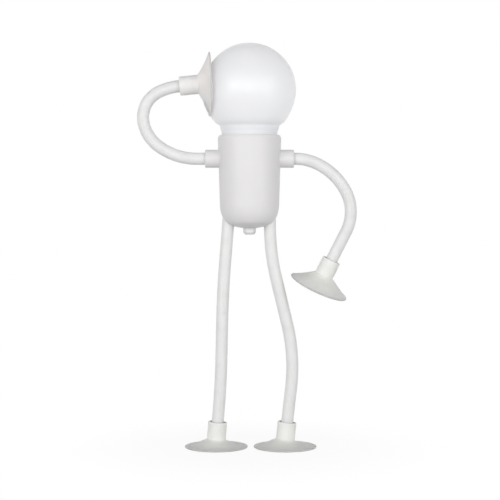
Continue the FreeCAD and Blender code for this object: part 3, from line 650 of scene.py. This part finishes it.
def routeStates(limb):
    # every run or bend of a route as (length so far, its length, x, z, heading, curvature)
    x, z = limb["start"]
    heading = math.radians(limb["heading"])
    length = 0.0
    states = [(-1.0, 1.0, x - math.cos(heading), z - math.sin(heading), heading, 0.0)]
    for stretch in limb["route"] + [None]:
        curve = 0.0
        if stretch is None:
            # a leg ends in its foot's sleeve, an arm where its route does
            cupTop = footCup["coneHeight"] - footCup["sleeve"] * math.sin(heading)
            run = (z - cupTop) / -math.sin(heading) if limb["standing"] else 0.0
        elif isinstance(stretch, tuple):
            turn = math.radians(stretch[1])
            run = stretch[0] * abs(turn)
            curve = turn / run
        else:
            run = stretch
        states.append((length, run, x, z, heading, curve))
        x, z, heading = stepAlong(x, z, heading, curve, run)
        length += run
    limb["length"] = length
    return states


def stepAlong(x, z, heading, curve, run):
    # a straight run moves along the heading (0.0 * run gives the heading the run's shape); a bend
    # moves round its arc
    if abs(curve) < 1e-9:
        return x + run * np.cos(heading), z + run * np.sin(heading), heading + 0.0 * run
    end = heading + curve * run
    return x + (np.sin(end) - np.sin(heading)) / curve, z - (np.cos(end) - np.cos(heading)) / curve, end


def centreLine(limb, along):
    # points, headings and side directions of a limb's centre line at an array of lengths
    along = np.asarray(along, float)
    x, z, heading = np.zeros(along.shape), np.zeros(along.shape), np.zeros(along.shape)
    for start, run, x0, z0, heading0, curve in limb["states"]:
        here = along >= start
        xs, zs, hs = stepAlong(x0, z0, heading0, curve, along - start)
        x, z, heading = np.where(here, xs, x), np.where(here, zs, z), np.where(here, hs, heading)
    tip = math.radians(limb["tip"])
    across, up = np.array([1.0, 0.0, 0.0]), np.array([0.0, -math.sin(tip), math.cos(tip)])
    side = np.cross(across, up)
    low = limb["start"][1]
    points = x[..., None] * across + (z[..., None] - low) * up + np.array([0.0, 0.0, low])
    ahead = np.cos(heading)[..., None] * across + np.sin(heading)[..., None] * up
    sideA = np.broadcast_to(side, ahead.shape)
    return points, ahead, sideA, np.cross(ahead, sideA)


def tubePiece(name, limb, start, end):
    # a ring of the tube's radius is carried along the centre line from start to end,
    # then a ring of the bore's radius back again, and the two are closed at both ends
    count = max(6, int(math.ceil((end - start) / tube["step"])))
    out = np.linspace(start, end, count + 1)
    back = np.linspace(end, start, count // 2 + 1)
    along = np.concatenate([out, back])
    radii = np.concatenate([np.full(len(out), tube["radius"]), np.full(len(back), tube["bore"])])
    points, ahead, sideA, sideB = centreLine(limb, along)
    rings = ringsAlong(points, sideA, sideB, radii, tube["ring"])
    piece = ringSurface(name, rings, along, closed=True)
    piece.data.materials.append(finishes["limbSilicone"])
    return piece


def makeLimb(name, limb):
    # one tube piece for each bend station; neighbouring pieces meet half way between stations
    stations = limb["stations"]
    middles = [0.5 * (a + b) for a, b in zip(stations[:-1], stations[1:])]
    ends = [-tube["hidden"]] + middles + [limb["length"] + tube["inside"]]
    for i, station in enumerate(stations):
        label = limb["nodes"][i + 1]
        piece = tubePiece(name + "_tube_" + label, limb, ends[i], ends[i + 1])
        replaced = [name + "_sleeve_" + label]
        if i == 0:
            replaced.append(name + "_sleeve_" + limb["nodes"][0])
        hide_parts(*replaced)
        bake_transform(piece)


# Suction cups

# rim is a radius, sleeve a length, lip the radius of the rim's bead and wave the height of its ripple;
# the axis leans from leanFrom to leanTo above the cone's top
raisedCup = dict(rim=0.0209, coneHeight=0.0076, hollow=0.0055, sleeve=0.0127, lip=0.00045, sag=0.0005,
                 wave=0.0, leanFrom=-0.0008, leanTo=0.0014)
freeCup = dict(rim=0.02005, coneHeight=0.0088, hollow=0.0066, sleeve=0.0118, lip=0.00055, sag=0.0004,
               wave=0.0002, leanFrom=-0.0008, leanTo=0.0014)
footCup = dict(rim=0.0208, coneHeight=0.0047, hollow=0.0029, sleeve=0.0122, lip=0.00045, sag=0.0008,
               wave=0.0, leanFrom=-0.0030, leanTo=0.0006)
cupCommon = dict(sleeveRadius=0.00625, flare=0.0009, boreRadius=0.00412, boreDepth=0.010,
                 mouthRadius=0.0049, mouthDepth=0.0012, ring=96, step=0.0006,
                 hollowPoints=26, hollowFrom=0.12, hollowFall=0.95, beadPoints=13, conePoints=30,
                 sagTaper=0.4,
                 ringFrom=(0.0, 1.0, 0.02),                     # no cup's axis points this way
                 ripple=((1.0, 2.0, 0.8), (0.5, 3.0, 2.0)),     # size, waves round the rim, start
                 rippleFade=3)                                  # power of the radius
# the raised cup stays outside this ball; its bead, beadLips wide, keeps beadShare of its height
globeRoom = dict(centre=(0.0, 0.0, 0.2363), radius=0.0314, beadLips=2.001, beadShare=0.5)

cups = {
    # lean and yaw turn the rim's axis away from the sleeve's, in degrees
    # the raised cup takes the lighter, warmer copy of the silicone, which is painted light
    "right_hand_cup": dict(limb="right_arm", shape=raisedCup, body="right_arm_end", lean=-3.8, yaw=4.2,
                           finish="cupSiliconeWarm"),
    "left_hand_cup": dict(limb="left_arm", shape=freeCup, body="left_arm_end", lean=1.6, yaw=-12.3,
                          finish="cupSilicone"),
    "right_foot_cup": dict(limb="right_leg", shape=footCup, body="right_leg_end", lean=0.0, yaw=0.0,
                          finish="cupSilicone"),
    "left_foot_cup": dict(limb="left_leg", shape=footCup, body="left_leg_end", lean=0.0, yaw=0.0,
                          finish="cupSilicone"),
}


def turnedAbout(vector, axis, degrees):
    # a vector turned about an axis: its share along the axis stays and the rest goes round
    axis = unit(axis)
    a = math.radians(degrees)
    alongAxis = axis * (axis @ vector) * (1 - math.cos(a))
    return vector * math.cos(a) + np.cross(axis, vector) * math.sin(a) + alongAxis


def cupProfile(shape):
    # the cup's outline as (radius, height above the rim): a hollow that falls by ease, a half round
    # rim bead, a straight cone that sags by a sine, then sleeve, mouth and bore. The second result is
    # the zone of each point: 0 hollow, 1 rim, 2 the cone's top, 3 mouth, 4 the bore's end
    rim, high, lip = shape["rim"], shape["coneHeight"], shape["lip"]
    top = high + shape["sleeve"]
    c = cupCommon
    inner = rim - 2.0 * lip
    share = np.linspace(0.0, 1.0, c["hollowPoints"])
    fall = ease((share - c["hollowFrom"]) / c["hollowFall"])
    hollow = np.stack([inner * share, shape["hollow"] * (1.0 - fall)], -1)
    turn = np.linspace(-0.5 * math.pi, 0.5 * math.pi, c["beadPoints"])
    bead = np.stack([rim - lip + lip * np.cos(turn), lip + lip * np.sin(turn)], -1)
    share = np.linspace(0.0, 1.0, c["conePoints"])[1:-1]
    rootR = c["sleeveRadius"] + c["flare"]
    coneR = (rim - lip) + (rootR - (rim - lip)) * share
    sag = shape["sag"] * np.sin(math.pi * share) * (1.0 - c["sagTaper"] * share)
    coneZ = 2.0 * lip + (high - 2.0 * lip) * share - sag
    cone = np.stack([coneR, coneZ], -1)
    upper = roundedProfile([
        (rootR, high, 0.0),
        (c["sleeveRadius"], high + 0.0006, 0.0006),
        (c["sleeveRadius"], top, 0.0005),
        (c["mouthRadius"], top, 0.00025),
        (c["boreRadius"], top - c["mouthDepth"], 0.0002),
        (c["boreRadius"], top - c["boreDepth"], 0.0004),
        (0.0, top - c["boreDepth"], 0.0),
    ], c["step"])
    profile = np.vstack([hollow, bead, cone, upper])
    length = lengthAlong(profile)
    mouth = len(profile) - len(upper) + int(np.argmax(upper[:, 1] > top - 1e-6))
    marks = [0, len(hollow) + len(bead) // 2, len(profile) - len(upper), mouth, len(profile) - 1]
    return profile, np.interp(length, length[marks], [0.0, 1.0, 2.0, 3.0, 4.0])


def makeCup(name, cup):
    # the outline is turned about an axis that leans from the rim's to the sleeve's near the cone's top
    limb, shape = limbs[cup["limb"]], cup["shape"]
    profile, zone = cupProfile(shape)
    mouth, ahead, side, _ = centreLine(limb, np.array([limb["length"]]))
    back = -ahead[0]
    base = mouth[0] - back * shape["sleeve"]
    rimBack = turnedAbout(turnedAbout(back, side[0], cup["lean"]), vertical, cup["yaw"])
    if shape is footCup:
        rimBack = vertical
    height = profile[:, 1] - shape["coneHeight"]
    share = ease((height - shape["leanFrom"]) / (shape["leanTo"] - shape["leanFrom"]))[:, None]
    axis = unit(rimBack * (1.0 - share) + back * share)
    sideA = unit(np.cross(axis, np.array(cupCommon["ringFrom"])))
    sideB = np.cross(axis, sideA)
    centres = base + axis * height[:, None]
    rings = ringsAlong(centres, sideA, sideB, profile[:, 0], cupCommon["ring"])
    if shape["wave"] > 0.0:
        # the free rim is not quite flat: a slow ripple that fades out up the cone
        angle = np.arange(cupCommon["ring"]) * 2.0 * math.pi / cupCommon["ring"]
        ripple = sum(size * np.sin(waves * angle + start) for size, waves, start in cupCommon["ripple"])
        fade = (profile[:, 0] / shape["rim"]) ** cupCommon["rippleFade"]
        size = shape["wave"] * fade * (height < 0.0)
        rings = rings + (size[:, None] * ripple)[:, :, None] * rimBack
    if shape is raisedCup:
        # the soft cup gives way to the globe: points inside the ball are pushed straight out to it, and
        # the rim's bead to its own share of height above it
        middle = np.array(globeRoom["centre"])
        away = rings - middle
        far = np.linalg.norm(away, axis=2, keepdims=True)
        onBead = profile[:, 0] > shape["rim"] - globeRoom["beadLips"] * shape["lip"]
        lift = globeRoom["beadShare"] * profile[:, 1] * onBead
        room = (globeRoom["radius"] + lift)[:, None, None]
        rings = np.where(far < room, middle + away / far * room, rings)
    piece = ringSurface(name.replace("_cup", "_suction"), rings, zone, sharpAngle=50.0)
    piece.data.materials.append(finishes[cup["finish"]])
    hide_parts(name)
    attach(piece, cup["body"])


for limbName, limb in limbs.items():
    # the first segment belongs to the torso, every other one to the body of its own name
    limb["bodies"] = ["torso"] + [limbName + "_" + label for label in limb["nodes"][1:]]
    limb["states"] = routeStates(limb)
    makeLimb(limbName, limb)
print("limbs made")
for cupName, cup in cups.items():
    makeCup(cupName, cup)
print("cups made")


# Button

buttonShape = dict(tip=0.1410, tipRadius=0.0029, fullRadius=0.0042, chamfer=0.0014, flange=0.1473,
                   flangeRadius=0.005, flangeTop=0.1481, stemRadius=0.0018, stemTop=0.1517, dish=0.00015,
                   dishPoint=(0.6, 0.5), ring=72, step=0.0005)


def makeButton():
    # an outline turned about Z: dished face, softened chamfer, barrel, flange and stem
    b = buttonShape
    outward, deep = b["dishPoint"]        # shares of the tip's radius and of the dish's depth
    profile = roundedProfile([
        (0.0, b["tip"] + b["dish"], 0.0),
        (b["tipRadius"] * outward, b["tip"] + b["dish"] * deep, 0.0),
        (b["tipRadius"], b["tip"], 0.0004),
        (b["fullRadius"], b["tip"] + b["chamfer"], 0.0006),
        (b["fullRadius"], b["flange"], 0.0),
        (b["flangeRadius"], b["flange"], 0.0),
        (b["flangeRadius"], b["flangeTop"], 0.0002),
        (b["stemRadius"], b["flangeTop"], 0.0003),
        (b["stemRadius"], b["stemTop"], 0.0003),
        (0.0, b["stemTop"], 0.0),
    ], b["step"])
    count = len(profile)
    centres = np.stack([np.zeros(count), np.zeros(count), profile[:, 1]], -1)
    sideA, sideB = np.tile([1.0, 0.0, 0.0], (count, 1)), np.tile([0.0, 1.0, 0.0], (count, 1))
    rings = ringsAlong(centres, sideA, sideB, profile[:, 0], b["ring"])
    piece = ringSurface("push_button", rings, lengthAlong(profile), sharpAngle=50.0)
    piece.data.materials.append(finishes["buttonCap"])
    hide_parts("button")
    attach(piece, "button")


makeButton()
print("button made")


# Stage, light and camera

stage = dict(floorRadius=6.0, floorSides=128, floorColour=(0.90, 0.90, 0.90),
             bounceColour=(0.62, 0.62, 0.62), shadowShare=0.08, shadowReach=(0.03, 0.14),
             glowReach=(0.1, 0.9), glow=(1.05, 0.30))
lamps = [
    # place and size in metres, power in watts
    dict(name="softBoxLeft", place=(-0.75, -0.95, 0.38), size=0.7, power=3.6),
    dict(name="softBoxRight", place=(0.80, -0.90, 0.30), size=0.7, power=2.75),
    dict(name="softBoxFront", place=(0.0, -1.4, 0.35), size=0.8, power=3.5),
]
lampTarget = (0.0, 0.0, 0.15)
cameraLook = dict(place=(0.0003, -0.94, 0.165), target=(0.0003, 0.0, 0.1308), width=0.330,
                  sensor=36.0, clip=(0.01, 20.0))


def seenBy(w, *kinds):
    # 1 for the kinds of ray that are named, 0 for the others
    path = w.add("ShaderNodeLightPath")
    seen = path.outputs[kinds[0]]
    for kind in kinds[1:]:
        seen = w.math("MAXIMUM", seen, path.outputs[kind])
    return seen


def makeFloor():
    # a large disc at height zero, white to the camera except for a share of its shading near the feet
    count = stage["floorSides"]
    angle = np.arange(count) * 2.0 * math.pi / count
    edge = np.stack([np.cos(angle), np.sin(angle), np.zeros(count)], -1) * stage["floorRadius"]
    mesh = bpy.data.meshes.new("floor")
    mesh.from_pydata(edge.tolist(), [], [list(range(count))])
    floor = bpy.data.objects.new("floor", mesh)
    bpy.context.scene.collection.objects.link(floor)
    material = bpy.data.materials.new("paleFloor")
    material.use_nodes = True
    material.cycles.emission_sampling = "NONE"      # its white is only for the rays that look at it
    material.node_tree.nodes.clear()
    w = Wiring(material.node_tree)
    seen = seenBy(w, "Is Camera Ray", "Is Glossy Ray", "Is Transmission Ray")
    matt = w.add("ShaderNodeBsdfDiffuse")
    w.join(w.mix(seen, rgb(stage["bounceColour"]), rgb(stage["floorColour"])), matt.inputs["Color"])
    white = w.add("ShaderNodeEmission")
    both = w.add("ShaderNodeMixShader")
    where = w.add("ShaderNodeTexCoord")
    far = w.add("ShaderNodeVectorMath", operation="LENGTH")
    w.join(where.outputs["Object"], far.inputs[0])
    near, away = stage["shadowReach"]
    whiteShare = w.spread(far.outputs["Value"], near, away, 1.0 - stage["shadowShare"], 1.0)
    w.join(w.math("MULTIPLY", seen, whiteShare), both.inputs[0])
    w.join(matt.outputs[0], both.inputs[1])
    w.join(white.outputs[0], both.inputs[2])
    output = w.add("ShaderNodeOutputMaterial")
    w.join(both.outputs[0], output.inputs["Surface"])
    mesh.materials.append(material)


def makeWorld():
    # white to the camera and through the globe's wall; its light and reflections dim towards the top
    world = bpy.data.worlds.new("studio")
    world.use_nodes = True
    world.node_tree.nodes.clear()
    w = Wiring(world.node_tree)
    glow = w.add("ShaderNodeBackground")
    where = w.add("ShaderNodeTexCoord")
    split = w.add("ShaderNodeSeparateXYZ")
    w.join(where.outputs["Generated"], split.inputs[0])
    w.join(w.spread(split.outputs["Z"], *stage["glowReach"], *stage["glow"]), glow.inputs["Strength"])
    white = w.add("ShaderNodeBackground")
    white.inputs["Color"].default_value = rgb((1.0, 1.0, 1.0))
    both = w.add("ShaderNodeMixShader")
    w.join(seenBy(w, "Is Camera Ray", "Is Transmission Ray"), both.inputs[0])
    w.join(glow.outputs[0], both.inputs[1])
    w.join(white.outputs[0], both.inputs[2])
    output = w.add("ShaderNodeOutputWorld")
    w.join(both.outputs[0], output.inputs["Surface"])
    bpy.context.scene.world = world


def aim(thing, place, target):
    # put a lamp or camera at a place and point its -Z at the target
    thing.location = place
    away = unit(np.array(place) - np.array(target))
    right = unit(np.cross(vertical, away))
    turn = np.stack([right, np.cross(away, right), away], -1)
    thing.rotation_mode = "QUATERNION"
    thing.rotation_quaternion = Matrix(turn.tolist()).to_quaternion()


def makeLamps():
    for lamp in lamps:
        light = bpy.data.lights.new(lamp["name"], "AREA")
        light.shape = "DISK"
        light.size = lamp["size"]
        light.energy = lamp["power"]
        thing = bpy.data.objects.new(lamp["name"], light)
        bpy.context.scene.collection.objects.link(thing)
        aim(thing, lamp["place"], lampTarget)


def makeCamera():
    # the view width at the target's distance gives the lens
    data = bpy.data.cameras.new("camera")
    distance = math.dist(cameraLook["place"], cameraLook["target"])
    data.sensor_width = cameraLook["sensor"]
    data.lens = data.sensor_width * distance / cameraLook["width"]
    data.clip_start, data.clip_end = cameraLook["clip"]
    camera = bpy.data.objects.new("camera", data)
    bpy.context.scene.collection.objects.link(camera)
    aim(camera, cameraLook["place"], cameraLook["target"])
    bpy.context.scene.camera = camera


makeFloor()
makeWorld()
makeLamps()
makeCamera()
bpy.context.scene.view_settings.view_transform = "Standard"
print("stage made")
